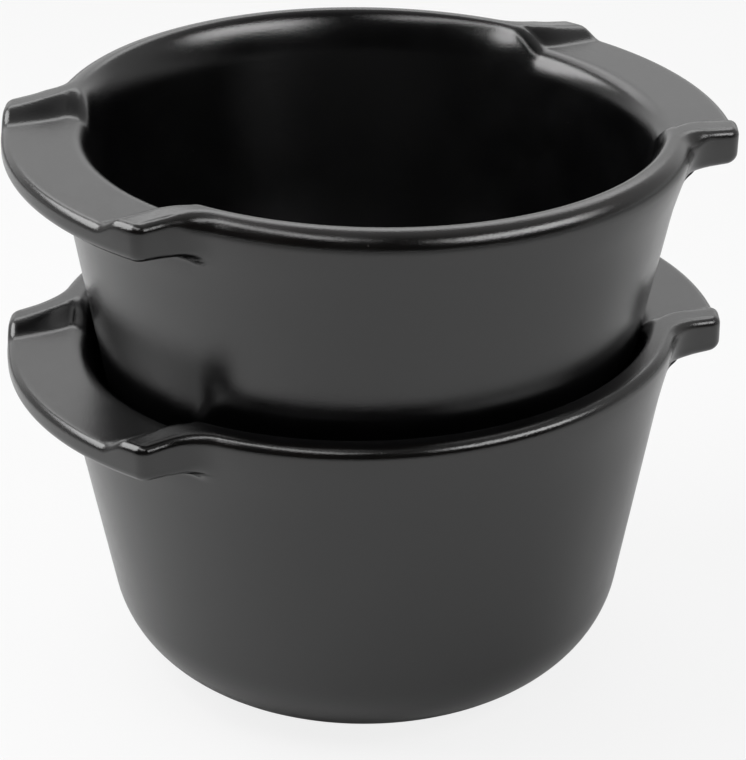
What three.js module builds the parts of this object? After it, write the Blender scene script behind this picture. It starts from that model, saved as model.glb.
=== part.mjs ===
// Two stoneware ramekins with lug handles, one nested in the other.
// Millimetres, +Z up, handles along X.
// The origin is on the table, under the middle of the lower ramekin.
import * as THREE from "three";

// Outside of the bowl
const RIM_RADIUS = 57;
const RIM_HEIGHT = 68;
const RIM_ROUNDING = 3.1;
const RIM_FLARE = 0.75;
const RIM_FLARE_HEIGHT = 12;
const WALL_DRAFT_DEGREES = 10.3;
const CORNER_RADIUS = 20.3;

// Inside of the bowl
const WALL_THICKNESS = 6.17;
const INSIDE_DRAFT_DEGREES = 8.9;
const INSIDE_CORNER_RADIUS = 15;
const INSIDE_ROLL_WIDTH = 2.8;
const INSIDE_ROLL_DEPTH = 5.8;
const FLOOR_THICKNESS = 5.5;

// Foot: a narrow ring of bare clay, set in a little from the glaze, round a shallow hollow
const FOOT_HEIGHT = 0.7;
const FOOT_SET_IN = 0.5;
const FOOT_WIDTH = 4;
const BASE_HOLLOW = 1.5;

// Handles: two flat lugs whose ends stand parallel to X
const LUG_RADIUS = 64.9;
const LUG_HALF_WIDTH = 31.9;
const LUG_CORNER_RADIUS = 2.8;
const LUG_FILLET_RADIUS = 10;
const LUG_THICKNESS = 4.7;
const LUG_EDGE_ROUNDING = 1.6;
const LUG_UNDER_ROUNDING = 2;
const LUG_UNDER_FILLET = 2.5;
const LUG_ROLL_WIDTH = 3.6;
const LUG_ROLL_DEPTH = 5;

// Ridge: the rim's crest, which leaves the rim at each end of a lug and runs out to its edge
const RIDGE_WIDTH = 6.6;
const RIDGE_CREST_WIDTH = 2.4;
const RIDGE_SLOPE_WIDTH = 4.6;
const RIDGE_HEIGHT = 3.1;
const RIDGE_DROOP = 1.1;

// Nesting: the upper one is set down by hand, a little askew, and rests in the rim of the lower one
const NEST_CLEARANCE = 0.3;
const NEST_LEAN_DEGREES = 1.55;
const NEST_LEAN_TOWARDS_DEGREES = -26;
const NEST_TURN_DEGREES = -0.8;

// Steps of the faceted surface, round a quarter of the plan
const LUG_ARC_STEPS = 3;
const RIDGE_SIDE_STEPS = 4;
const LUG_CORNER_STEPS = 4;
const LUG_FILLET_STEPS = 5;
const RIM_ARC_STEPS = 7;

// Steps of the faceted surface, along a section
const CORNER_STEPS = 5;
const UNDERSIDE_STEPS = 7;
const EDGE_STEPS = 3;
const TOP_STEPS = 6;
const ROLL_STEPS = 4;
const INSIDE_CORNER_STEPS = 4;

// Points of the outline nearer than this are one point
const SAME_POINT = 0.01;
// Share of a lug's reach over which its own edges take over from the rim's
const BLEND_SHARE = 0.4;
// Share of the way round a lug's underside that is its fillet
const FILLET_SHARE = 3 / 7;
// Angle in plan that the ridge and its inner slope take up at the lug's edge
const RIDGE_SIDE_ANGLE = Math.atan((RIDGE_WIDTH + RIDGE_SLOPE_WIDTH) / LUG_RADIUS);

const { degToRad, lerp, smoothstep } = THREE.MathUtils;
const WALL_DRAFT = degToRad(WALL_DRAFT_DEGREES);
const INSIDE_DRAFT = degToRad(INSIDE_DRAFT_DEGREES);

// Levels
const rimShoulder = RIM_HEIGHT - RIM_ROUNDING;
const flareStart = rimShoulder - RIM_FLARE_HEIGHT;
const lugTop = RIM_HEIGHT - RIDGE_HEIGHT;
const lugUnderside = lugTop - LUG_THICKNESS;
const floorTop = BASE_HOLLOW + FLOOR_THICKNESS;

// Radius at which the straight outer wall would meet the rim's shoulder
const shoulderRadius = RIM_RADIUS - RIM_FLARE + RIM_ROUNDING * (1 / Math.cos(WALL_DRAFT) - 1);

// Radius of the plain outer wall at a height: straight, then flared a little up to the rim's rounding
function wallRadius(z) {
  const flare = RIM_FLARE * smoothstep(z, flareStart, rimShoulder);
  return shoulderRadius - (rimShoulder - z) * Math.tan(WALL_DRAFT) + flare;
}

// Radius of the plain inner wall at a height
function insideRadius(z) {
  return shoulderRadius - WALL_THICKNESS - (rimShoulder - z) * Math.tan(INSIDE_DRAFT);
}

// Arc that joins a drafted wall to a level below it, as points from the level up to the wall
function cornerArc(radiusAt, level, radius, draft, cutLevel, steps) {
  const centre = new THREE.Vector2(radiusAt(level + radius) - radius / Math.cos(draft), level + radius);
  const from = Math.acos((centre.y - cutLevel) / radius) - Math.PI / 2;
  return new THREE.EllipseCurve(centre.x, centre.y, radius, radius, from, -draft).getPoints(steps);
}

// Outer profile from the middle of the base to the top of the corner
function baseProfile() {
  const corner = cornerArc(wallRadius, 0, CORNER_RADIUS, WALL_DRAFT, FOOT_HEIGHT, CORNER_STEPS);
  const footRadius = corner[0].x - FOOT_SET_IN;
  const footInside = footRadius - FOOT_WIDTH;
  return [
    new THREE.Vector2(0, BASE_HOLLOW),
    new THREE.Vector2(footInside - BASE_HOLLOW, BASE_HOLLOW),
    new THREE.Vector2(footInside, 0),
    new THREE.Vector2(footRadius, 0),
    new THREE.Vector2(footRadius, FOOT_HEIGHT),
    ...corner,
  ];
}

// Inner profile from the top of the inner corner to the middle of the floor
function floorProfile() {
  const corner = cornerArc(
    insideRadius, floorTop, INSIDE_CORNER_RADIUS, INSIDE_DRAFT, floorTop, INSIDE_CORNER_STEPS,
  );
  return [...corner.reverse(), new THREE.Vector2(0, floorTop)];
}

// Centres of the arcs in a quarter of the plan: the lug's corner, and the fillet between lug and rim
const cornerCentre = new THREE.Vector2(
  Math.sqrt((LUG_RADIUS - LUG_CORNER_RADIUS) ** 2 - (LUG_HALF_WIDTH - LUG_CORNER_RADIUS) ** 2),
  LUG_HALF_WIDTH - LUG_CORNER_RADIUS,
);
const filletCentre = new THREE.Vector2(
  Math.sqrt((RIM_RADIUS + LUG_FILLET_RADIUS) ** 2 - (LUG_HALF_WIDTH + LUG_FILLET_RADIUS) ** 2),
  LUG_HALF_WIDTH + LUG_FILLET_RADIUS,
);

// Plan outline of a quarter, from the handle's middle to the side of the bowl, as points with outward normals
function quarterOutline() {
  const cornerAngle = cornerCentre.angle();
  const filletAngle = filletCentre.angle();
  const ridgeAngle = cornerAngle - RIDGE_SIDE_ANGLE;
  const middle = new THREE.Vector2();
  const arcs = [
    { centre: middle, radius: LUG_RADIUS, from: 0, to: ridgeAngle, steps: LUG_ARC_STEPS },
    { centre: middle, radius: LUG_RADIUS, from: ridgeAngle, to: cornerAngle, steps: RIDGE_SIDE_STEPS },
    { centre: cornerCentre, radius: LUG_CORNER_RADIUS, from: cornerAngle, to: Math.PI / 2, steps: LUG_CORNER_STEPS },
    {
      centre: filletCentre,
      radius: LUG_FILLET_RADIUS,
      from: -Math.PI / 2,
      to: filletAngle - Math.PI,
      steps: LUG_FILLET_STEPS,
      hollow: true,
    },
    { centre: middle, radius: RIM_RADIUS, from: filletAngle, to: Math.PI / 2, steps: RIM_ARC_STEPS },
  ];
  const stations = [];
  for (const { centre, radius, from, to, steps, hollow } of arcs) {
    const curve = new THREE.EllipseCurve(centre.x, centre.y, radius, radius, from, to, to < from);
    for (const point of curve.getPoints(steps)) {
      const normal = point.clone().sub(centre).divideScalar(hollow ? -radius : radius);
      const previous = stations.at(-1);
      if (!previous || previous.point.distanceTo(point) > SAME_POINT) stations.push({ point, normal });
    }
  }
  return stations;
}

// The whole outline, from four mirrored quarters
function wholeOutline() {
  const quarter = quarterOutline();
  const between = quarter.slice(1, -1).reverse();
  const mirrored = (stations, x, y) =>
    stations.map(({ point, normal }) => ({
      point: new THREE.Vector2(point.x * x, point.y * y),
      normal: new THREE.Vector2(normal.x * x, normal.y * y),
    }));
  return [
    ...mirrored(quarter, 1, 1),
    ...mirrored(between, -1, 1),
    ...mirrored(quarter, -1, -1),
    ...mirrored(between, 1, -1),
  ];
}

// Distance in plan from the middle line of the rim and the ridges
function ridgeDistance(point) {
  const x = Math.abs(point.x);
  const y = Math.abs(point.y);
  if (x >= filletCentre.x) return Math.abs(y - LUG_HALF_WIDTH + RIDGE_WIDTH / 2);
  if (Math.atan2(y, x) >= filletCentre.angle()) return Math.abs(Math.hypot(x, y) - RIM_RADIUS + RIDGE_WIDTH / 2);
  const fromFillet = Math.hypot(x - filletCentre.x, y - filletCentre.y);
  return Math.abs(fromFillet - LUG_FILLET_RADIUS - RIDGE_WIDTH / 2);
}

// Height of the rim, the ridges and the lugs at a point in plan
function topHeight(point) {
  const crest = RIDGE_CREST_WIDTH / 2;
  const onRidge = 1 - smoothstep(ridgeDistance(point), crest, crest + RIDGE_SLOPE_WIDTH);
  const outward = smoothstep(point.length(), RIM_RADIUS - RIDGE_WIDTH / 2, LUG_RADIUS);
  return lerp(lugTop, RIM_HEIGHT - RIDGE_DROOP * outward, onRidge);
}

// Outside of a lug at a share of its way from the wall to its edge: a fillet under it, then a rounding
function lugTurn(share, wall, { point, normal }) {
  if (share < FILLET_SHARE) {
    const angle = (Math.PI / 2) * (share / FILLET_SHARE);
    const p = point.clone().setLength(wall + LUG_UNDER_FILLET * (1 - Math.cos(angle)));
    return new THREE.Vector3(p.x, p.y, lugUnderside - LUG_UNDER_FILLET * (1 - Math.sin(angle)));
  }
  const angle = (Math.PI / 2) * ((share - FILLET_SHARE) / (1 - FILLET_SHARE));
  const p = point.clone().addScaledVector(normal, -LUG_UNDER_ROUNDING * (1 - Math.sin(angle)));
  return new THREE.Vector3(p.x, p.y, lugUnderside + LUG_UNDER_ROUNDING * (1 - Math.cos(angle)));
}

// Section through the wall at one station of the outline, from the middle of the base to the middle of the floor
function section(station) {
  const { point, normal } = station;
  const reach = point.length();
  const along = point.clone().normalize();
  const at = (radius, z) => new THREE.Vector3(along.x * radius, along.y * radius, z);
  const lug = smoothstep((reach - RIM_RADIUS) / (LUG_RADIUS - RIM_RADIUS), 0, BLEND_SHARE);
  const rolled = smoothstep(
    Math.abs(point.x) / reach, Math.cos(filletCentre.angle()), Math.cos(cornerCentre.angle()),
  );

  // Top edge: inset by its rounding, at the height of the surface there
  const rounding = lerp(RIM_ROUNDING, LUG_EDGE_ROUNDING, lug);
  const inset = point.clone().addScaledVector(normal, -rounding);
  const crest = topHeight(inset);
  const shoulder = crest - rounding;

  // Outside below the edge: on the rim the wall goes straight up, on a lug it turns out and up again
  const start = lugUnderside - LUG_UNDER_FILLET;
  const end = lerp((lugUnderside + shoulder) / 2, lugUnderside + LUG_UNDER_ROUNDING, lug);
  const wall = wallRadius(start);
  const underside = [];
  for (let i = 0; i <= UNDERSIDE_STEPS; i++) {
    const share = i / UNDERSIDE_STEPS;
    const z = lerp(start, end, share);
    const onRim = at(wallRadius(z) + (reach - RIM_RADIUS) * smoothstep(share, 0, 1), z);
    underside.push(onRim.lerp(lugTurn(share, wall, station), lug));
  }

  // Rounded top edge, which starts square to the wall
  const edge = [];
  for (let i = 0; i <= EDGE_STEPS; i++) {
    const angle = lerp(-WALL_DRAFT * (1 - lug), Math.PI / 2, i / EDGE_STEPS);
    const p = point.clone().addScaledVector(normal, -rounding * (1 - Math.cos(angle)));
    edge.push(new THREE.Vector3(p.x, p.y, shoulder + rounding * Math.sin(angle)));
  }

  // Top surface, then the roll into the bowl
  const rollWidth = lerp(INSIDE_ROLL_WIDTH, LUG_ROLL_WIDTH, rolled);
  const rollDepth = lerp(INSIDE_ROLL_DEPTH, LUG_ROLL_DEPTH, rolled);
  const lip = along.clone().multiplyScalar(insideRadius(rimShoulder) + rollWidth);
  const top = [];
  for (let i = 1; i <= TOP_STEPS; i++) {
    const p = inset.clone().lerp(lip, i / TOP_STEPS);
    top.push(new THREE.Vector3(p.x, p.y, topHeight(p)));
  }
  const lipHeight = topHeight(lip);
  const roll = new THREE.QuadraticBezierCurve(
    new THREE.Vector2(lip.length(), lipHeight),
    new THREE.Vector2(insideRadius(lipHeight), lipHeight),
    new THREE.Vector2(insideRadius(lipHeight - rollDepth), lipHeight - rollDepth),
  ).getPoints(ROLL_STEPS);

  return [
    ...baseProfile().map((p) => at(p.x, p.y)),
    at(wallRadius(flareStart), flareStart),
    ...underside,
    ...edge,
    ...top,
    ...roll.slice(1).map((p) => at(p.x, p.y)),
    ...floorProfile().map((p) => at(p.x, p.y)),
  ];
}

// Closed surface through sections that share their first and last points
function loft(sections) {
  const rings = sections[0].length;
  const inner = sections.map((points) => points.slice(1, -1));
  const poles = [sections[0].at(0), sections[0].at(-1)];
  const index = (i, j) => {
    if (j === 0) return 0;
    if (j === rings - 1) return 1;
    return poles.length + (i % sections.length) * (rings - poles.length) + j - 1;
  };
  const faces = [];
  for (let i = 0; i < sections.length; i++) {
    for (let j = 0; j < rings - 1; j++) {
      const [a, b, c, d] = [index(i, j), index(i + 1, j), index(i + 1, j + 1), index(i, j + 1)];
      if (a !== b) faces.push(a, b, c);
      if (c !== d) faces.push(a, c, d);
    }
  }
  const geometry = new THREE.BufferGeometry().setFromPoints([...poles, ...inner.flat()]);
  geometry.setIndex(faces);
  geometry.computeVertexNormals();
  return geometry;
}

// Height of a profile at a radius, or the given height where the profile doesn't reach it
function profileHeight(profile, radius, beyond) {
  for (let i = 1; i < profile.length; i++) {
    const [a, b] = [profile[i - 1], profile[i]];
    const between = (radius - a.x) * (radius - b.x) <= 0;
    if (between && a.x !== b.x) return lerp(a.y, b.y, (radius - a.x) / (b.x - a.x));
  }
  return beyond;
}

// Height at which an upper ramekin comes to rest in a lower one: its leaning outside is let down
// into the other's inside until the nearest points are only the clearance apart
function restingHeight(pivot, lean) {
  const profile = section(quarterOutline().at(-1)).map((p) => new THREE.Vector2(Math.hypot(p.x, p.y), p.z));
  const crest = profile.reduce((highest, p, i) => (p.y > profile[highest].y ? i : highest), 0);
  const inside = profile.slice(crest);
  const heights = [RIM_HEIGHT - lugUnderside + LUG_RADIUS * Math.sin(lean)];
  for (const angle of [lean, -lean]) {
    const outside = profile.slice(0, crest).map((p) => p.clone().rotateAround(new THREE.Vector2(0, pivot), angle));
    for (const p of outside) heights.push(profileHeight(inside, p.x + NEST_CLEARANCE, RIM_HEIGHT) - p.y);
    for (const p of inside) heights.push(p.y - profileHeight(outside, p.x - NEST_CLEARANCE, Infinity));
  }
  return Math.max(...heights) + NEST_CLEARANCE;
}

// Glaze: satin black, fired as one with the stoneware
const blackGlaze = new THREE.MeshStandardMaterial({ color: 0x0f0f0f, roughness: 0.4, metalness: 0 });

const ramekin = loft(wholeOutline().map(section));

// Lower ramekin, standing on the table
const lower = new THREE.Mesh(ramekin, blackGlaze);
lower.name = "lower_ramekin";

// Upper ramekin, turned and leaning in the rim of the lower one
const upper = new THREE.Mesh(ramekin, blackGlaze);
upper.name = "upper_ramekin";
const lean = degToRad(NEST_LEAN_DEGREES);
const pivot = CORNER_RADIUS / 2;
const leanTowards = degToRad(NEST_LEAN_TOWARDS_DEGREES);
const leanAxis = new THREE.Vector3(-Math.sin(leanTowards), Math.cos(leanTowards), 0);
const seat = new THREE.Group();
seat.position.z = restingHeight(pivot, lean) + pivot;
seat.quaternion.setFromAxisAngle(leanAxis, lean);
upper.position.z = -pivot;
upper.rotation.z = degToRad(NEST_TURN_DEGREES);
seat.add(upper);
console.log("nested " + (seat.position.z - pivot).toFixed(2) + " mm above the lower ramekin's foot");

const pair = new THREE.Group();
pair.add(lower, seat);
export default pair;
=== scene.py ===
# %% [markdown]
# A nested pair of black stoneware ramekins
#
# The object is two identical oven dishes in satin black glaze, one set down in the mouth of the other.
# A measured model of both is already there, as a fixed frame of coarse solids in metres, with +Z up.
# This lesson gives them their looks: a smooth skin that follows the measured form, a glaze made of
# nodes, and a plain white studio. It starts by loading the frame, because every size, place and
# moving body comes from it.

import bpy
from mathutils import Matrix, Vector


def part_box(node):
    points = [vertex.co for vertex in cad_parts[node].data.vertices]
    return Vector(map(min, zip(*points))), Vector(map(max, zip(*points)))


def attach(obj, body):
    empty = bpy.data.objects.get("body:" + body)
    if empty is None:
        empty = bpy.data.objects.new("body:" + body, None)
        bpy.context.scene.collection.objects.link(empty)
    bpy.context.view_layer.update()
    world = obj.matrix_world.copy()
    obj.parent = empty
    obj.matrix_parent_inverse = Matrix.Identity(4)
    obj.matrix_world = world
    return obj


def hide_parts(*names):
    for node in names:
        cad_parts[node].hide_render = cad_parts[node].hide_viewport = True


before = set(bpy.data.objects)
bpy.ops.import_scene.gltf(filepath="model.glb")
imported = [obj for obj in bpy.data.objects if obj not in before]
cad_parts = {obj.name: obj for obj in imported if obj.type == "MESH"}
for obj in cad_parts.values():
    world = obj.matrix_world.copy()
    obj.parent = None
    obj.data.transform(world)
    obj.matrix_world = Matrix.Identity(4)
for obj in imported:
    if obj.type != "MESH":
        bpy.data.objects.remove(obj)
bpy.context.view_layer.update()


def in_mm(sides, digits=1):
    """Metres as rounded millimetres, for printing."""
    return [round(1000 * side, digits) for side in sides]


# %% Libraries
from math import acos, atan, atan2, cos, hypot, pi, radians, sin, sqrt, tan

import bpy
from mathutils import Matrix, Vector
from mathutils.geometry import interpolate_bezier

# %% [markdown]
# The camera
#
# A product photograph is taken from a little way off, so that near and far edges stay alike in size.
# The camera is placed by what a photographer would note down: which way it looks round the object, how
# high it stands, how far off, and the lens. A helper turns such a direction into a point, and the lamps
# use the same helper later, so that the whole studio is described from the camera's side.

# %% Directions in the studio
VIEW_AZIMUTH = radians(-26.0)


def studio_point(turn, elevation, distance, middle=(0.0, 0.0, 0.0)):
    """A point seen from middle: turn goes round to the right of the camera, elevation up."""
    azimuth = VIEW_AZIMUTH + turn
    level = cos(elevation) * distance
    outward = Vector((sin(azimuth) * level, -cos(azimuth) * level, sin(elevation) * distance))
    return Vector(middle) + outward


# %% Camera
CAMERA_ELEVATION = radians(26.29)
CAMERA_DISTANCE = 0.52
CAMERA_TARGET = Vector((0.00145, -0.0007, 0.05336))
CAMERA_ROLL = radians(-0.39)
CAMERA_LENS = 133.36

camera = bpy.data.objects.new("studio_camera", bpy.data.cameras.new("studio_camera"))
camera.location = studio_point(0.0, CAMERA_ELEVATION, CAMERA_DISTANCE, CAMERA_TARGET)
looking = (CAMERA_TARGET - camera.location).to_track_quat("-Z", "Y")
camera.rotation_euler = (looking.to_matrix() @ Matrix.Rotation(CAMERA_ROLL, 3, "Z")).to_euler()
camera.data.lens = CAMERA_LENS
bpy.context.scene.collection.objects.link(camera)
bpy.context.scene.camera = camera
print("camera at, mm:", in_mm(camera.location))

# %% [markdown]
# The form of one ramekin
#
# The real ramekin is pressed or cast as one piece: bowl, rim, two flat lugs and a foot ring. Its rim
# leaves the circle at each end of a lug and runs out to the lug's edge as a low ridge. A lathe can't
# turn that, and a subdivision cage would pull the ridges out of their measured place. So the skin is
# lofted: the plan outline is cut into stations, each station gets one section from the middle of the
# base to the middle of the floor inside, and neighbouring sections are joined by quads.
#
# The frame gives the three sizes that it can be asked for, and the rest are the maker's drawing sizes.

# %% Sizes that the frame gives
lower_low, lower_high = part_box("lower_ramekin")
LUG_RADIUS = lower_high.x
RIM_RADIUS = lower_high.y
RIM_HEIGHT = lower_high.z
print("one ramekin, mm:", in_mm(lower_high - lower_low))

# %% Sizes of the bowl
RIM_ROUNDING = 0.0031
RIM_FLARE = 0.00075
RIM_FLARE_HEIGHT = 0.012
WALL_DRAFT = radians(10.3)
CORNER_RADIUS = 0.0203
WALL_THICKNESS = 0.00617
INSIDE_DRAFT = radians(8.9)
INSIDE_CORNER_RADIUS = 0.015
INSIDE_ROLL_DEPTH = 0.008
INSIDE_ROLL_PULLS = (0.58, 0.45)
FLOOR_THICKNESS = 0.0055
FOOT_HEIGHT = 0.0007
FOOT_SET_IN = 0.0005
FOOT_WIDTH = 0.004
BASE_HOLLOW = 0.0015

# %% Sizes of the lugs and their ridges
LUG_HALF_WIDTH = 0.0319
LUG_CORNER_RADIUS = 0.0028
LUG_FILLET_RADIUS = 0.010
LUG_THICKNESS = 0.0047
LUG_EDGE_ROUNDING = 0.0016
LUG_UNDER_ROUNDING = 0.002
LUG_UNDER_FILLET = 0.0025
LUG_ROLL_WIDTH = 0.0036
LUG_ROLL_DEPTH = 0.005
LUG_ROLL_PULLS = (2 / 3, 2 / 3)
LUG_BLEND_SHARE = 0.4
UNDER_FILLET_SHARE = 3 / 7
RIDGE_WIDTH = 0.0066
RIDGE_CREST_WIDTH = 0.0024
RIDGE_SLOPE_WIDTH = 0.0046
RIDGE_HEIGHT = 0.0031
RIDGE_DROOP = 0.0011

# %% Levels and slopes that follow from them
RIM_SHOULDER = RIM_HEIGHT - RIM_ROUNDING
SHOULDER_RADIUS = RIM_RADIUS - RIM_FLARE + RIM_ROUNDING * (1 / cos(WALL_DRAFT) - 1)
FLARE_START = RIM_SHOULDER - RIM_FLARE_HEIGHT
LUG_TOP = RIM_HEIGHT - RIDGE_HEIGHT
LUG_UNDERSIDE = LUG_TOP - LUG_THICKNESS
FLOOR_TOP = BASE_HOLLOW + FLOOR_THICKNESS
print("heights of floor, lug underside and lug top, mm:", in_mm((FLOOR_TOP, LUG_UNDERSIDE, LUG_TOP)))


# %% [markdown]
# Small tools for curves
#
# An arc, a straight run and a soft step are all that the drawing needs. The soft step is the usual
# 3t² - 2t³: it leaves and arrives level, so that no crease shows where one form hands over to the
# next.

# %% Arcs, runs and soft steps
def mix(a, b, share):
    return a + (b - a) * share


def soft_step(value, start, end):
    """0 before start, 1 after end, and a smooth rise between them."""
    share = min(max((value - start) / (end - start), 0.0), 1.0)
    return share * share * (3 - 2 * share)


def arc(centre, radius, start, end, steps):
    """Points on a circle, both ends included."""
    angles = [mix(start, end, i / steps) for i in range(steps + 1)]
    return [Vector((centre[0] + radius * cos(a), centre[1] + radius * sin(a))) for a in angles]


def run(start, end, steps):
    """Points on a straight line, without its start."""
    return [Vector(start).lerp(Vector(end), i / steps) for i in range(1, steps + 1)]


# %% [markdown]
# The two walls
#
# The outer wall is a straight cone, as it has to leave a mould, and its top flares out a little more
# under the rim. The inner wall is a little steeper, so that the wall thins from 6 mm under the rim to
# 5 mm near the base. The rim is rounded off with a wet sponge by hand, so no two have the same
# rounding, and a sharper one starts higher up the wall, where the cone is already wider. So its flare
# is smaller.

# %% Radius of the walls at a height
def wall_radius(z, rounding=RIM_ROUNDING):
    softer = rounding - RIM_ROUNDING
    flare = RIM_FLARE + softer * (1 / cos(WALL_DRAFT) - 1 + tan(WALL_DRAFT))
    straight = SHOULDER_RADIUS - (RIM_SHOULDER - z) * tan(WALL_DRAFT)
    return straight + flare * soft_step(z, FLARE_START, RIM_HEIGHT - rounding)


def inside_radius(z):
    return SHOULDER_RADIUS - WALL_THICKNESS - (RIM_SHOULDER - z) * tan(INSIDE_DRAFT)


for level in (0.02, 0.04, 0.06):
    print("height and both radii, mm:", in_mm((level, inside_radius(level), wall_radius(level))))

# %% [markdown]
# The parts of a section that go all the way round
#
# Base and floor are the same at every station. The foot ring is the narrow band of bare clay that the
# ramekin stands on in the kiln, and its edges are rounded a little, as sponged clay is.

# %% Base profile, from the middle outwards and up
CORNER_STEPS = 18
FOOT_EDGE_ROUNDING = 0.00025
FOOT_EDGE_STEPS = 3
HOLLOW_STEPS = 6


def corner_arc(radius_at, level, radius, draft, cut, steps):
    """Arc that joins a drafted wall to a level below it, from a cut above that level up to the wall."""
    centre = (radius_at(level + radius) - radius / cos(draft), level + radius)
    start = acos((radius - cut) / radius) - pi / 2
    return arc(centre, radius, start, -draft, steps)


def base_profile():
    corner = corner_arc(wall_radius, 0.0, CORNER_RADIUS, WALL_DRAFT, FOOT_HEIGHT, CORNER_STEPS)
    foot = corner[0].x - FOOT_SET_IN
    foot_inside = foot - FOOT_WIDTH
    r = FOOT_EDGE_ROUNDING
    points = [Vector((0.0, BASE_HOLLOW))]
    points += run(points[-1], (foot_inside - BASE_HOLLOW, BASE_HOLLOW), HOLLOW_STEPS)
    points += arc((foot_inside + r, r), r, -3 * pi / 4, -pi / 2, FOOT_EDGE_STEPS)
    points += arc((foot - r, r), r, -pi / 2, 0.0, FOOT_EDGE_STEPS)
    points += [Vector((foot, FOOT_HEIGHT))]
    points += corner
    return points


# %% Floor profile, from the wall inwards
INSIDE_CORNER_STEPS = 14
FLOOR_STEPS = 6


def floor_profile():
    corner = corner_arc(
        inside_radius, FLOOR_TOP, INSIDE_CORNER_RADIUS, INSIDE_DRAFT, 0.0, INSIDE_CORNER_STEPS,
    )
    corner.reverse()
    return corner + run(corner[-1], (0.0, FLOOR_TOP), FLOOR_STEPS)


print("points: base", len(base_profile()), "floor", len(floor_profile()))

# %% [markdown]
# The outline in plan
#
# Seen from above, a quarter of the outline is five arcs: the lug's edge, which is concentric with the
# rim, its tight corner, the hollow fillet back to the rim, and the rim. Each point keeps its outward
# normal, because the edges are rounded square to the outline, and not towards the bowl's middle.

# %% Quarter outline
LUG_ARC_STEPS = 18
RIDGE_SIDE_STEPS = 14
LUG_CORNER_STEPS = 12
LUG_FILLET_STEPS = 14
RIM_ARC_STEPS = 30

corner_y = LUG_HALF_WIDTH - LUG_CORNER_RADIUS
corner_x = sqrt((LUG_RADIUS - LUG_CORNER_RADIUS) ** 2 - corner_y**2)
corner_angle = atan2(corner_y, corner_x)
fillet_y = LUG_HALF_WIDTH + LUG_FILLET_RADIUS
fillet_x = sqrt((RIM_RADIUS + LUG_FILLET_RADIUS) ** 2 - fillet_y**2)
fillet_angle = atan2(fillet_y, fillet_x)
ridge_angle = corner_angle - atan((RIDGE_WIDTH + RIDGE_SLOPE_WIDTH) / LUG_RADIUS)


def outline_arc(centre, radius, start, end, steps, side=1):
    """Points of an outline arc with their outward normals. side is -1 on a hollow arc."""
    points = arc(centre, radius, start, end, steps)
    return [(p, (p - Vector(centre)) * side / radius) for p in points]


def quarter_outline():
    middle = (0.0, 0.0)
    stations = outline_arc(middle, LUG_RADIUS, 0.0, ridge_angle, LUG_ARC_STEPS)
    stations += outline_arc(middle, LUG_RADIUS, ridge_angle, corner_angle, RIDGE_SIDE_STEPS)[1:]
    corner = (corner_x, corner_y)
    stations += outline_arc(corner, LUG_CORNER_RADIUS, corner_angle, pi / 2, LUG_CORNER_STEPS)[1:]
    fillet = (fillet_x, fillet_y)
    stations += outline_arc(fillet, LUG_FILLET_RADIUS, -pi / 2, fillet_angle - pi, LUG_FILLET_STEPS, -1)
    stations += outline_arc(middle, RIM_RADIUS, fillet_angle, pi / 2, RIM_ARC_STEPS)[1:]
    return stations


def whole_outline():
    """Four mirrored quarters, in one turn."""
    quarter = quarter_outline()
    between = quarter[-2:0:-1]
    quarters = [(quarter, 1, 1), (between, -1, 1), (quarter, -1, -1), (between, 1, -1)]
    stations = []
    for part, x, y in quarters:
        stations += [(Vector((p.x * x, p.y * y)), Vector((n.x * x, n.y * y))) for p, n in part]
    return stations


print("stations:", len(whole_outline()))

# %% [markdown]
# Heights of the top
#
# Rim, ridge and lug are one surface. Its height depends only on how far a point lies from the ridge's
# middle line: on the line it is the rim's full height, and beside it the surface falls to the lug.

# %% Ridge line and top height
def ridge_distance(point):
    """Distance in plan from the middle line of the rim and the ridges."""
    x, y = abs(point.x), abs(point.y)
    if x >= fillet_x:
        return abs(y - LUG_HALF_WIDTH + RIDGE_WIDTH / 2)
    if atan2(y, x) >= fillet_angle:
        return abs(hypot(x, y) - RIM_RADIUS + RIDGE_WIDTH / 2)
    return abs(hypot(x - fillet_x, y - fillet_y) - LUG_FILLET_RADIUS - RIDGE_WIDTH / 2)


def top_height(point):
    crest = RIDGE_CREST_WIDTH / 2
    on_ridge = 1 - soft_step(ridge_distance(point), crest, crest + RIDGE_SLOPE_WIDTH)
    outward = soft_step(point.length, RIM_RADIUS - RIDGE_WIDTH / 2, LUG_RADIUS)
    return mix(LUG_TOP, RIM_HEIGHT - RIDGE_DROOP * outward, on_ridge)


# %% [markdown]
# One section
#
# Under a lug the wall turns out through a fillet and up again round the lug's edge. Along the rim there
# is no lug, and the wall goes straight up into the rim's rounding. Both forms are worked out at every
# station and mixed by how far the outline stands out there, so that the lug grows out of the wall as
# clay does.
#
# Inside, the top rolls over into the bowl on a Bézier curve. Its two handles say how soon it turns:
# late on the lugs, and slowly on the rim, where the long roll shows a broad highlight at the back.

# %% Underside of a lug
def lug_turn(share, wall, point, normal):
    """Outside of a lug at a share of its way from the wall to its edge: a fillet, then a rounding."""
    if share < UNDER_FILLET_SHARE:
        angle = pi / 2 * share / UNDER_FILLET_SHARE
        p = point.normalized() * (wall + LUG_UNDER_FILLET * (1 - cos(angle)))
        return Vector((p.x, p.y, LUG_UNDERSIDE - LUG_UNDER_FILLET * (1 - sin(angle))))
    angle = pi / 2 * (share - UNDER_FILLET_SHARE) / (1 - UNDER_FILLET_SHARE)
    p = point - normal * LUG_UNDER_ROUNDING * (1 - sin(angle))
    return Vector((p.x, p.y, LUG_UNDERSIDE + LUG_UNDER_ROUNDING * (1 - cos(angle))))


# %% Outside of a section
WALL_STEPS = 14
UNDERSIDE_STEPS = 28


def place(along, radius, z):
    """Point at a radius and a height, in the direction of a section."""
    return Vector((along.x * radius, along.y * radius, z))


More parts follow.
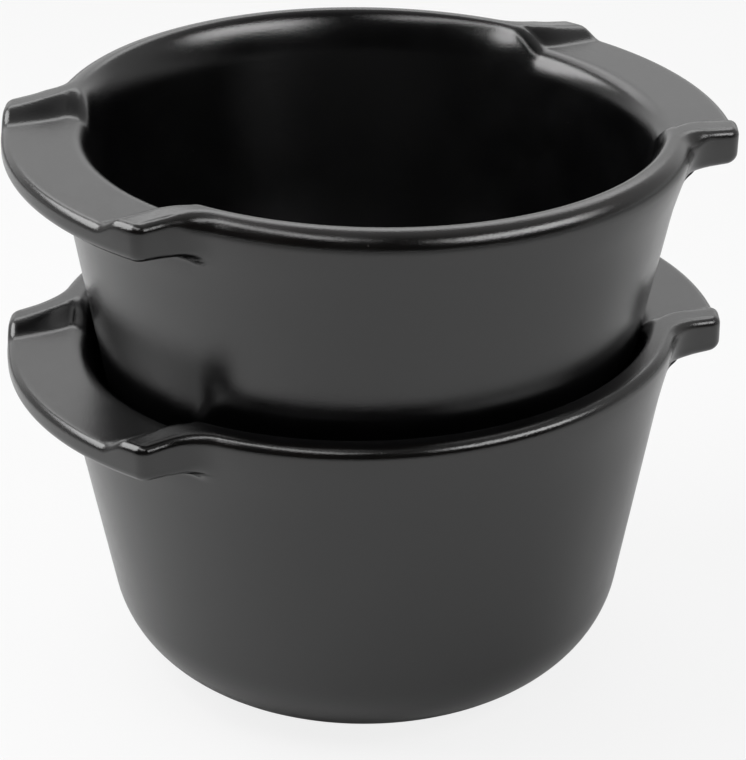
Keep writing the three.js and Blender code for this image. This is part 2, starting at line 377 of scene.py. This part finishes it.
def outside_wall(point, normal, rim_rounding, lug, shoulder):
    """From the middle of the base up to the edge's rounding. lug is 0 on the rim and 1 on a lug."""
    reach = point.length
    along = point.normalized()
    base = base_profile()
    start = LUG_UNDERSIDE - LUG_UNDER_FILLET
    end = mix((LUG_UNDERSIDE + shoulder) / 2, LUG_UNDERSIDE + LUG_UNDER_ROUNDING, lug)
    wall = wall_radius(start, rim_rounding)
    points = [place(along, *p) for p in base]
    for i in range(1, WALL_STEPS):
        z = mix(base[-1].y, start, i / WALL_STEPS)
        points.append(place(along, wall_radius(z, rim_rounding), z))
    for i in range(UNDERSIDE_STEPS + 1):
        share = i / UNDERSIDE_STEPS
        z = mix(start, end, share)
        radius = wall_radius(z, rim_rounding) + (reach - RIM_RADIUS) * soft_step(share, 0.0, 1.0)
        points.append(place(along, radius, z).lerp(lug_turn(share, wall, point, normal), lug))
    return points


# %% Rounded edge of a section
EDGE_STEPS = 10


def rounded_edge(point, normal, rounding, lug, shoulder):
    """Upper edge, rounded square to the outline. It starts in the wall's draft, or upright on a lug."""
    points = []
    for i in range(EDGE_STEPS + 1):
        angle = mix(-WALL_DRAFT * (1 - lug), pi / 2, i / EDGE_STEPS)
        p = point - normal * rounding * (1 - cos(angle))
        points.append(Vector((p.x, p.y, shoulder + rounding * sin(angle))))
    return points


# %% Top and inside of a section
TOP_STEPS = 18
ROLL_STEPS = 16
INSIDE_WALL_STEPS = 14


def top_and_inside(inset, along, roll_width, rolled):
    """From the edge's rounding over the lip to the middle of the floor. rolled is 1 on a lug."""
    lip = along * (inside_radius(RIM_SHOULDER) + mix(roll_width, LUG_ROLL_WIDTH, rolled))
    points = [Vector((p.x, p.y, top_height(p))) for p in run(inset, lip, TOP_STEPS)]

    lip_height = top_height(lip)
    roll_end = lip_height - mix(INSIDE_ROLL_DEPTH, LUG_ROLL_DEPTH, rolled)
    a = Vector((lip.length, lip_height))
    b = Vector((inside_radius(lip_height), lip_height))
    c = Vector((inside_radius(roll_end), roll_end))
    pulls = [mix(rim, at_lug, rolled) for rim, at_lug in zip(INSIDE_ROLL_PULLS, LUG_ROLL_PULLS)]
    inside = interpolate_bezier(a, a.lerp(b, pulls[0]), c.lerp(b, pulls[1]), c, ROLL_STEPS + 1)[1:]
    floor = floor_profile()
    inside += run(inside[-1], floor[0], INSIDE_WALL_STEPS)
    inside += floor[1:]
    return points + [place(along, *p) for p in inside]


# %% Section at one station
LOWER_RIM = (0.0020, 0.0030)
UPPER_RIM = (0.0034, 0.0033)


def section(point, normal, rim_rounding, roll_width):
    """All points at a station. A rim is its rounding outside and the width of its roll inside."""
    reach = point.length
    lug = soft_step((reach - RIM_RADIUS) / (LUG_RADIUS - RIM_RADIUS), 0.0, LUG_BLEND_SHARE)
    rolled = soft_step(abs(point.x) / reach, cos(fillet_angle), cos(corner_angle))
    rounding = mix(rim_rounding, LUG_EDGE_ROUNDING, lug)
    inset = point - normal * rounding
    shoulder = top_height(inset) - rounding
    points = outside_wall(point, normal, rim_rounding, lug, shoulder)
    points += rounded_edge(point, normal, rounding, lug, shoulder)
    points += top_and_inside(inset, point.normalized(), roll_width, rolled)
    return points


for name, station in (("lug", quarter_outline()[0]), ("rim", quarter_outline()[-1])):
    points = section(*station, *LOWER_RIM)
    print(name, "section:", len(points), "points, height, mm:", in_mm([max(p.z for p in points)]))

# %% [markdown]
# Joining the sections
#
# The first and last point of every section are the same two poles, so they are made once. The quads
# between two sections become triangles only at the poles, and the skin is closed.

# %% Loft
def loft(name, sections):
    """Closed mesh through sections that share their first and last points."""
    count = len(sections)
    rings = len(sections[0]) - 2
    verts = [sections[0][0], sections[0][-1]]
    for points in sections:
        verts += points[1:-1]

    def ring(i, j):
        return 2 + (i % count) * rings + j

    faces = []
    for i in range(count):
        faces.append((0, ring(i + 1, 0), ring(i, 0)))
        for j in range(rings - 1):
            faces.append((ring(i, j), ring(i + 1, j), ring(i + 1, j + 1), ring(i, j + 1)))
        faces.append((ring(i, rings - 1), ring(i + 1, rings - 1), 1))
    mesh = bpy.data.meshes.new(name)
    mesh.from_pydata(verts, [], faces)
    mesh.validate()
    return mesh


# %% [markdown]
# Masks that travel with the skin
#
# Two things about a glaze follow from the form. It is wiped off the foot before firing, and it runs
# thin over every sharp edge, where the clay's warm brown shows through. Both could be painted or found
# with shader tricks, but the section's own points already know what they are. So each point of a
# section gets two numbers, and every station repeats them.

# %% Masks along a section
BARE_CLAY_POINTS = range(HOLLOW_STEPS + 1, HOLLOW_STEPS + 1 + 2 * (FOOT_EDGE_STEPS + 1) + 1)
EDGE_START = len(base_profile()) + WALL_STEPS - 1 + UNDERSIDE_STEPS + 1


def clay_mask(index):
    """1 on both rounded edges of the foot ring and up to the start of the wall."""
    return 1.0 if index in BARE_CLAY_POINTS else 0.0


def edge_mask(index):
    """1 along the middle of the rounded top edge, and falling off beside it."""
    middle = EDGE_START + EDGE_STEPS / 2
    return 1.0 - soft_step(abs(index - middle), 0.0, EDGE_STEPS)


print("bare clay on points", list(BARE_CLAY_POINTS))

# %% Skin of one ramekin
def add_mask(mesh, name, values):
    """A number at each vertex, in the order of the loft: two poles, then every section's points."""
    stations = (len(mesh.vertices) - 2) // (len(values) - 2)
    attribute = mesh.attributes.new(name, "FLOAT", "POINT")
    attribute.data.foreach_set("value", [values[0], values[-1]] + values[1:-1] * stations)


def ramekin_mesh(name, rim_rounding, roll_width):
    sections = [section(p, n, rim_rounding, roll_width) for p, n in whole_outline()]
    mesh = loft(name, sections)
    mesh.polygons.foreach_set("use_smooth", [True] * len(mesh.polygons))
    points = range(len(sections[0]))
    add_mask(mesh, "bare_clay", [clay_mask(j) for j in points])
    add_mask(mesh, "thin_glaze", [edge_mask(j) for j in points])
    mesh.update()
    return mesh


# %% [markdown]
# Two ramekins
#
# The lower one stands at the origin. The upper one was set down by hand, so it leans a little to the
# camera's right and is turned a little. The object itself could be turned, but here the mesh is turned
# and the object stays at the origin, as the measured solids do, so that its box is a true one. The
# height comes from the frame: the solid's box says where the piece has to come to rest. The photograph
# shows a crisper rim on the lower one, so each has its own rounding outside and width of roll inside.

# %% Place both
NEST_LEAN = radians(1.55)
NEST_LEAN_TOWARDS = radians(-26.0)
NEST_TURN = radians(-0.8)


def mesh_box(mesh):
    corners = [[compare(v.co[i] for v in mesh.vertices) for i in range(3)] for compare in (min, max)]
    return Vector(corners[0]), Vector(corners[1])


def add_ramekin(name, rotation, rim_rounding, roll_width):
    """One ramekin, turned by rotation and moved so that its box's middle is the solid's."""
    mesh = ramekin_mesh(name, rim_rounding, roll_width)
    mesh.transform(rotation.to_4x4())
    low, high = mesh_box(mesh)
    solid_low, solid_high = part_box(name)
    shift = (solid_low + solid_high - low - high) / 2
    mesh.transform(Matrix.Translation(shift))
    piece = bpy.data.objects.new(name, mesh)
    bpy.context.scene.collection.objects.link(piece)
    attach(piece, name)
    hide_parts(name)
    print(name, len(mesh.polygons), "faces, moved by, mm:", in_mm(shift, 2))
    return piece


lean_axis = Vector((-sin(NEST_LEAN_TOWARDS), cos(NEST_LEAN_TOWARDS), 0.0))
nested = Matrix.Rotation(NEST_LEAN, 3, lean_axis) @ Matrix.Rotation(NEST_TURN, 3, "Z")
lower_ramekin = add_ramekin("lower_ramekin", Matrix.Identity(3), *LOWER_RIM)
upper_ramekin = add_ramekin("upper_ramekin", nested, *UPPER_RIM)

# %% [markdown]
# A little warp
#
# Clay softens in the kiln, and a rim never stays quite level. It is a fraction of a millimetre, but the
# eye reads it in the rim's highlight. So each bowl is tipped a little above its base, by a shear that
# starts softly and leaves the foot flat on the table. A warp is the side that rises, counted from the
# camera's, and how far the rim rises there.

# %% Warp of both
WARP_START = 0.02
LOWER_WARP = (radians(40), 0.0004)
UPPER_WARP = (pi, 0.00015)


def warp(mesh, turn, rise):
    """Raises the rim by rise on the side that turn gives, and lowers it as much on the other side."""
    side = studio_point(turn, 0.0, 1.0)
    base = mesh_box(mesh)[0].z
    for v in mesh.vertices:
        share = soft_step(v.co.z - base, WARP_START, RIM_HEIGHT)
        v.co.z += rise * share * (v.co.x * side.x + v.co.y * side.y) / RIM_RADIUS


for piece, (turn, rise) in ((lower_ramekin, LOWER_WARP), (upper_ramekin, UPPER_WARP)):
    warp(piece.data, turn, rise)
    low, high = mesh_box(piece.data)
    print(piece.name, "box, mm:", in_mm(low, 2), in_mm(high, 2))

# %% [markdown]
# Helpers for node trees
#
# Materials are built by script here, so a few lines that add a node, set its sockets and wire it up
# keep every effect short. A named effect is a node group: it takes its sizes as inputs and gives a
# value back, and each material uses it with its own numbers.

# %% Adding a node
def add_node(tree, kind, settings=None, **sockets):
    """A node with its settings. A socket's value is a constant, or another node's output."""
    node = tree.nodes.new(kind)
    for key, value in (settings or {}).items():
        setattr(node, key, value)
    for key, value in sockets.items():
        socket = node.inputs[int(key[1:]) if key[1:].isdigit() else key.replace("_", " ")]
        if isinstance(value, bpy.types.NodeSocket):
            tree.links.new(value, socket)
        else:
            socket.default_value = value
    return node


# %% Nodes that work out a value
MIX_SOCKETS = {"FLOAT": (2, 3, 0), "RGBA": (6, 7, 2)}


def numbered(values):
    """Values by the number of their socket, for nodes whose sockets share a name."""
    return {f"_{i}": value for i, value in enumerate(values)}


def calculate(tree, operation, *values):
    return add_node(tree, "ShaderNodeMath", {"operation": operation}, **numbered(values)).outputs[0]


def map_range(tree, value, start, end, low, high, kind="SMOOTHSTEP"):
    """Low up to start, high from end on, and a rise between them."""
    sockets = numbered((value, start, end, low, high))
    return add_node(tree, "ShaderNodeMapRange", {"interpolation_type": kind}, **sockets).outputs[0]


def blend(tree, kind, share, a, b):
    """a where share is 0 and b where it is 1. A Mix node has other sockets for each kind of value."""
    first, second, result = MIX_SOCKETS[kind]
    sockets = {"_0": share, f"_{first}": a, f"_{second}": b}
    return add_node(tree, "ShaderNodeMix", {"data_type": kind}, **sockets).outputs[result]


def noise(tree, place, size, detail, roughness):
    """Noise whose lumps have a size in metres."""
    scale = calculate(tree, "DIVIDE", 1.0, size)
    sockets = {"Vector": place, "Scale": scale, "Detail": detail, "Roughness": roughness}
    return add_node(tree, "ShaderNodeTexNoise", **sockets).outputs["Fac"]


# %% Node groups
def new_group(name, inputs, output):
    """An empty node group, its inputs and its outputs. Place is a vector, and the rest are numbers."""
    group = bpy.data.node_groups.new(name, "ShaderNodeTree")
    for socket in inputs:
        kind = "NodeSocketVector" if socket == "Place" else "NodeSocketFloat"
        group.interface.new_socket(socket, in_out="INPUT", socket_type=kind)
    group.interface.new_socket(output, in_out="OUTPUT", socket_type="NodeSocketFloat")
    start = group.nodes.new("NodeGroupInput").outputs
    end = group.nodes.new("NodeGroupOutput").inputs
    return group, start, end


def add_group(tree, group, **sockets):
    """What a group works out from these inputs."""
    return add_node(tree, "ShaderNodeGroup", {"node_tree": group}, **sockets).outputs[0]


# %% [markdown]
# The skin of the glaze
#
# A satin glaze isn't polished. It froze as it lay, so that it has a fine peel like an orange's, and it
# is a little thicker here and thinner there over some centimetres. The peel breaks a reflection's edge
# into grain, and the broad unevenness lets a long highlight waver. Displaced geometry could do it, but
# both are a few hundredths of a millimetre high at most, so a bump is the right tool.

# %% Group: uneven skin
def skin_group():
    inputs = ["Place", "Peel Size", "Peel Height", "Wave Size", "Wave Height"]
    group, start, end = new_group("uneven_skin", inputs, "Height")
    peel = noise(group, start["Place"], start["Peel Size"], detail=2.0, roughness=0.6)
    wave = noise(group, start["Place"], start["Wave Size"], detail=1.0, roughness=0.4)
    peel_up = calculate(group, "MULTIPLY", peel, start["Peel Height"])
    both = calculate(group, "MULTIPLY_ADD", wave, start["Wave Height"], peel_up)
    group.links.new(both, end["Height"])
    return group


uneven_skin = skin_group()
print(uneven_skin.name, "has", len(uneven_skin.nodes), "nodes")

# %% [markdown]
# Patches and specks
#
# Kiln heat and thickness vary, so the colour and the gloss drift slowly over the surface. Slow noise
# gives the drift. Here and there a grain of unmelted mineral shows pale, and the same pale specks also
# stand in for pinholes that catch the light, so they are partly painted glints. For the specks, cells
# of a Voronoi pattern are kept only where their own random value is low, which leaves a few, far apart.

# %% Group: slow drift
NOISE_SPREAD = (0.3, 0.7)


def drift_group():
    """Noise is mostly within its spread, which is stretched here from Low to High."""
    group, start, end = new_group("kiln_drift", ["Place", "Size", "Low", "High"], "Value")
    cloud = noise(group, start["Place"], start["Size"], detail=3.0, roughness=0.55)
    value = map_range(group, cloud, *NOISE_SPREAD, start["Low"], start["High"], kind="LINEAR")
    group.links.new(value, end["Value"])
    return group


kiln_drift = drift_group()
print(kiln_drift.name, "has", len(kiln_drift.nodes), "nodes")

# %% Group: sparse specks
def speck_group():
    """Size is a speck's radius as a share of Spacing, and Share says how many cells have one."""
    group, start, end = new_group("pale_specks_and_painted_glints", ["Place", "Spacing", "Size", "Share"], "Mask")
    scale = calculate(group, "DIVIDE", 1.0, start["Spacing"])
    cells = add_node(group, "ShaderNodeTexVoronoi", Vector=start["Place"], Scale=scale).outputs
    dot = map_range(group, cells["Distance"], 0.0, start["Size"], 1.0, 0.0)
    lot = add_node(group, "ShaderNodeSeparateColor", Color=cells["Color"]).outputs[0]
    kept = calculate(group, "LESS_THAN", lot, start["Share"])
    mask = calculate(group, "MULTIPLY", dot, kept)
    group.links.new(mask, end["Mask"])
    return group


pale_specks_and_painted_glints = speck_group()
print(pale_specks_and_painted_glints.name, "has", len(pale_specks_and_painted_glints.nodes), "nodes")

# %% [markdown]
# The glaze
#
# Black glaze is glass over dark clay: nearly all that one sees of it is what it mirrors. So its colour
# is close to black, and the look is in the gloss. The index of refraction is that of an iron-rich
# glass, and the roughness that of a satin surface. On the foot the same shader turns to bare clay,
# with the mask made above: brown, dry and dull.

# %% Colours and values of the glaze
GLAZE_COLOUR = (0.0016, 0.0016, 0.0017, 1.0)
GLAZE_PALE = (0.0028, 0.0028, 0.0030, 1.0)
THIN_COLOUR = (0.007, 0.0055, 0.0045, 1.0)
CLAY_COLOUR = (0.085, 0.060, 0.045, 1.0)
# Pale specks: the mineral grains' own colour, and painted glints where they stand for pinholes that
# catch the light.
SPECK_AND_GLINT_COLOUR = (0.10, 0.095, 0.09, 1.0)
GLAZE_IOR = 1.72
GLAZE_ROUGHNESS = (0.15, 0.22)
CLAY_ROUGHNESS = 0.85
PATCH_SIZE = 0.018
GLOSS_SIZE = 0.009
THIN_SIZE = 0.006
THIN_STRENGTH = (0.1, 0.6)
SPECKS = {"Spacing": 0.0024, "Size": 0.06, "Share": 0.12}
SKIN_HEIGHT = 0.000016
SKIN = {"Peel_Size": 0.0003, "Peel_Height": 1.9, "Wave_Size": 0.013, "Wave_Height": 2.0}


# %% Glaze
def glaze_material(name):
    """The glaze. Its peel and its waves are as high as SKIN says, times SKIN_HEIGHT."""
    material = bpy.data.materials.new(name)
    material.use_nodes = True
    tree = material.node_tree
    shader = tree.nodes["Principled BSDF"].inputs
    place = add_node(tree, "ShaderNodeTexCoord").outputs["Object"]
    clay = add_node(tree, "ShaderNodeAttribute", {"attribute_name": "bare_clay"}).outputs["Fac"]
    thin = add_node(tree, "ShaderNodeAttribute", {"attribute_name": "thin_glaze"}).outputs["Fac"]

    def drift(size, low, high):
        return add_group(tree, kiln_drift, Place=place, Size=size, Low=low, High=high)

    specks = add_group(tree, pale_specks_and_painted_glints, Place=place, **SPECKS)
    broken = calculate(tree, "MULTIPLY", thin, drift(THIN_SIZE, *THIN_STRENGTH))
    colour = blend(tree, "RGBA", drift(PATCH_SIZE, 0.0, 1.0), GLAZE_COLOUR, GLAZE_PALE)
    colour = blend(tree, "RGBA", broken, colour, THIN_COLOUR)
    # Pale specks, partly the mineral grains' own colour and partly painted glints for pinholes that
    # catch the light.
    colour = blend(tree, "RGBA", specks, colour, SPECK_AND_GLINT_COLOUR)
    colour = blend(tree, "RGBA", clay, colour, CLAY_COLOUR)
    tree.links.new(colour, shader["Base Color"])

    gloss = drift(GLOSS_SIZE, *GLAZE_ROUGHNESS)
    tree.links.new(blend(tree, "FLOAT", clay, gloss, CLAY_ROUGHNESS), shader["Roughness"])
    shader["IOR"].default_value = GLAZE_IOR

    height = add_group(tree, uneven_skin, Place=place, **SKIN)
    bump = add_node(tree, "ShaderNodeBump", Strength=1.0, Distance=SKIN_HEIGHT, Height=height)
    tree.links.new(bump.outputs[0], shader["Normal"])
    print(name, "has", len(tree.nodes), "nodes")
    return material


lower_ramekin.data.materials.append(glaze_material("satin_black_glaze_lower"))
upper_ramekin.data.materials.append(glaze_material("satin_black_glaze_upper"))

# %% [markdown]
# The studio
#
# Black gloss shows the room that it stands in, so the studio is most of the picture. The photograph's
# highlights tell where its lamps stood: a large softbox high on the left, a strip in front of it, a
# flatter softbox on the right, and one over the backdrop that draws the crest of the rims. They are
# set up by direction, angle of view and brightness, where 1 is the brightness of white paper.

# %% Softboxes
LAMPS_AIM = Vector((0.0, 0.0, 0.06))
SOFTBOXES = (
    # name, then in degrees: turn, elevation, width, height, roll, and then distance and brightness
    ("left_softbox", -92, 42, 44, 34, -32, 0.45, 4.8),
    ("front_left_strip", -50, 64, 44, 12, 0, 0.6, 3.4),
    ("right_softbox", 61, 41, 42, 18, -12, 0.6, 5.2),
    ("back_softbox", 180, 47, 56, 24, 0, 1.0, 1.6),
)


def add_softbox(name, turn, elevation, width, height, roll, distance, brightness):
    """A softbox that spans width and height, two angles, as seen from the object. A lamp of
    brightness 1 has a power of pi times its area."""
    lamp = bpy.data.lights.new(name, "AREA")
    lamp.shape = "RECTANGLE"
    side_x, side_y = (2 * distance * tan(angle / 2) for angle in (width, height))
    lamp.size = side_x
    lamp.size_y = side_y
    lamp.energy = brightness * pi * side_x * side_y
    box = bpy.data.objects.new(name, lamp)
    box.location = studio_point(turn, elevation, distance, LAMPS_AIM)
    facing = (LAMPS_AIM - box.location).to_track_quat("-Z", "Y").to_matrix()
    box.rotation_euler = (facing @ Matrix.Rotation(roll, 3, "Z")).to_euler()
    bpy.context.scene.collection.objects.link(box)
    print(name, "sides, mm:", in_mm((side_x, side_y)), "at", in_mm(box.location))


for name, *angles, distance, brightness in SOFTBOXES:
    add_softbox(name, *map(radians, angles), distance, brightness)

# %% [markdown]
# The room
#
# The room is a world that differs by direction only: pale behind the object, dim overhead and at the
# sides, nearly black behind the camera, and white low down all round, where the floor runs on. The
# ceiling's light and the backdrop's come from how far a direction points towards the backdrop. The
# camera itself sees plain white everywhere, as the picture was cleaned to, and only the glaze and the
# floor get the room's light.

# %% World
ROOM_BRIGHTNESS = 0.015
CEILING_BRIGHTNESS = 0.45
CEILING_RISE = (-0.6, 0.5)
BACKDROP_BRIGHTNESS = 0.55
BACKDROP_RISE = (0.55, 0.78)
LOW_BAND = (0.01, 0.04)


def light_path(tree):
    """Two values that are 1 or 0: seen by the camera, also through glass, and seen in a mirror."""
    path = add_node(tree, "ShaderNodeLightPath").outputs
    seen = calculate(tree, "MAXIMUM", path["Is Camera Ray"], path["Is Transmission Ray"])
    return seen, path["Is Glossy Ray"]


world = bpy.data.worlds.new("studio_room")
bpy.context.scene.world = world
world.use_nodes = True
tree = world.node_tree
direction = add_node(tree, "ShaderNodeTexCoord").outputs["Generated"]
backwards = studio_point(pi, 0.0, 1.0)
product = add_node(
    tree, "ShaderNodeVectorMath", {"operation": "DOT_PRODUCT"}, **numbered((direction, backwards)),
)
towards = product.outputs["Value"]
upwards = add_node(tree, "ShaderNodeSeparateXYZ", Vector=direction).outputs["Z"]
ceiling = map_range(tree, towards, *CEILING_RISE, ROOM_BRIGHTNESS, CEILING_BRIGHTNESS)
backdrop = map_range(tree, towards, *BACKDROP_RISE, 0.0, BACKDROP_BRIGHTNESS)
far_floor = map_range(tree, upwards, *LOW_BAND, 1.0, 0.0)
room = calculate(tree, "MAXIMUM", calculate(tree, "ADD", ceiling, backdrop), far_floor)
seen = light_path(tree)[0]
shown = calculate(tree, "MAXIMUM", room, seen)
tree.links.new(shown, tree.nodes["Background"].inputs["Color"])
bpy.context.scene.view_settings.view_transform = "Standard"
print(world.name, "has", len(tree.nodes), "nodes")

# %% [markdown]
# The floor
#
# The ramekins stand on white paper, which the photographer let run to pure white. Only a soft shadow
# round the foot is left. More light would do that, but it would change the ramekins too. Instead, what
# the camera sees is mostly plain white of strength 1, and lit paper for the rest, which keeps the
# shadow. In a reflection the paper is lifted only a little, because the glaze shows it as it is lit.

# %% Floor
FLOOR_HALF = 4.0

corners = [(x * FLOOR_HALF, y * FLOOR_HALF, 0.0) for x, y in ((-1, -1), (1, -1), (1, 1), (-1, 1))]
floor_mesh = bpy.data.meshes.new("studio_floor")
floor_mesh.from_pydata(corners, [], [(0, 1, 2, 3)])
floor = bpy.data.objects.new("studio_floor", floor_mesh)
bpy.context.scene.collection.objects.link(floor)
print("floor, m:", 2 * FLOOR_HALF, "square")

# %% Paper
PAPER_COLOUR = (0.7, 0.7, 0.7, 1.0)
PAPER_LIFT = 0.84
MIRRORED_LIFT = 0.05

paper = bpy.data.materials.new("white_paper")
paper.use_nodes = True
tree = paper.node_tree
tree.nodes.remove(tree.nodes["Principled BSDF"])
seen, mirrored = light_path(tree)
lift = calculate(tree, "MULTIPLY", seen, PAPER_LIFT)
lift = calculate(tree, "MULTIPLY_ADD", mirrored, MIRRORED_LIFT, lift)
lit_paper = add_node(tree, "ShaderNodeBsdfDiffuse", Color=PAPER_COLOUR).outputs[0]
plain_white = add_node(tree, "ShaderNodeEmission", Strength=1.0).outputs[0]
sheet = add_node(tree, "ShaderNodeMixShader", **numbered((lift, lit_paper, plain_white)))
tree.links.new(sheet.outputs[0], tree.nodes["Material Output"].inputs["Surface"])
floor_mesh.materials.append(paper)
print(paper.name, "has", len(tree.nodes), "nodes")
